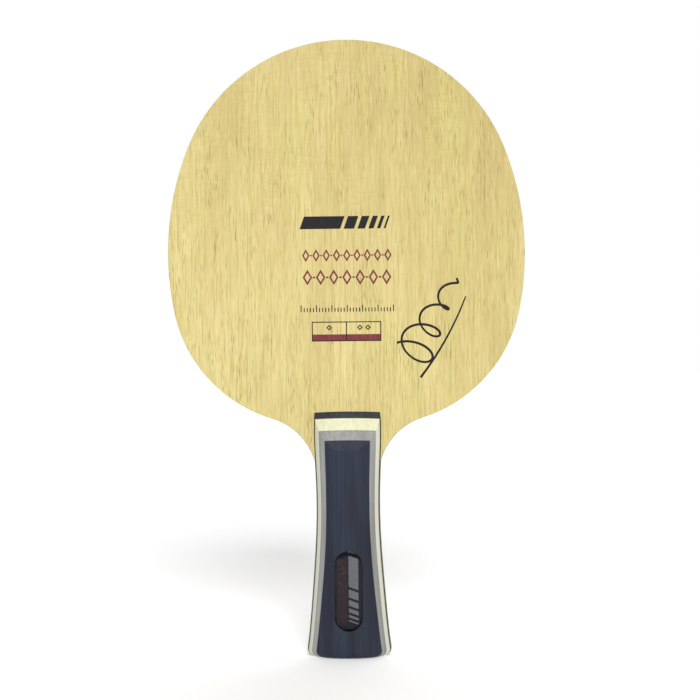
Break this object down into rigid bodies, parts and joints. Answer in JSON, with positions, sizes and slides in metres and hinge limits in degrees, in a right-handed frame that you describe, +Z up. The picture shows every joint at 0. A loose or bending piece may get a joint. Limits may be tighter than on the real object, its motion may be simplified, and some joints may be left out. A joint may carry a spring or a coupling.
{
  "type": "table tennis paddle",
  "caption": "Bare laminated table tennis blade with an oval head, carbon plies, a flared handle of layered strips with bevelled tops, and a lens badge.",
  "frame": {"origin": "middle of the flat butt end of the handle, at the middle of the object's box and at its lowest point", "axes": "+Z up the handle to the tip of the head, X across the blade, Y through the thickness with the front and its badge facing -Y"},
  "size_m": [0.15, 0.0256, 0.2583],
  "materials": {
    "core_wood": "open-grained light core wood, sanded edge",
    "inner_wood": "straight-grained inner veneer, sanded edge",
    "carbon": "woven carbon fibre in resin, sanded edge",
    "face_wood": "pale yellow face veneer with fine upright pores, sealed satin",
    "navy_wood": "dyed dark navy, fine upright grain, satin",
    "cream_wood": "pale cream strip, satin",
    "grey_wood": "dyed light grey strip, satin",
    "adhesive": "thin translucent adhesive film",
    "badge_print": "dark printed foil with plain bars and a stripe",
    "clear_resin": "clear domed casting resin, glossy"
  },
  "bodies": {
    "root": {"core_strip_left": "core_wood", "core_strip_centre": "core_wood", "core_strip_right": "core_wood", "inner_veneer_front": "inner_wood", "inner_veneer_back": "inner_wood", "carbon_ply_front": "carbon", "carbon_ply_back": "carbon", "face_veneer_front": "face_wood", "face_veneer_back": "face_wood", "handle_base_front": "navy_wood", "handle_base_back": "navy_wood", "handle_cream_front": "cream_wood", "handle_cream_back": "cream_wood", "handle_grey_front": "grey_wood", "handle_grey_back": "grey_wood", "handle_cap_front": "navy_wood", "handle_cap_back": "navy_wood", "badge_adhesive": "adhesive", "badge_foil": "badge_print", "badge_lens": "clear_resin"}
  },
  "joints": []
}
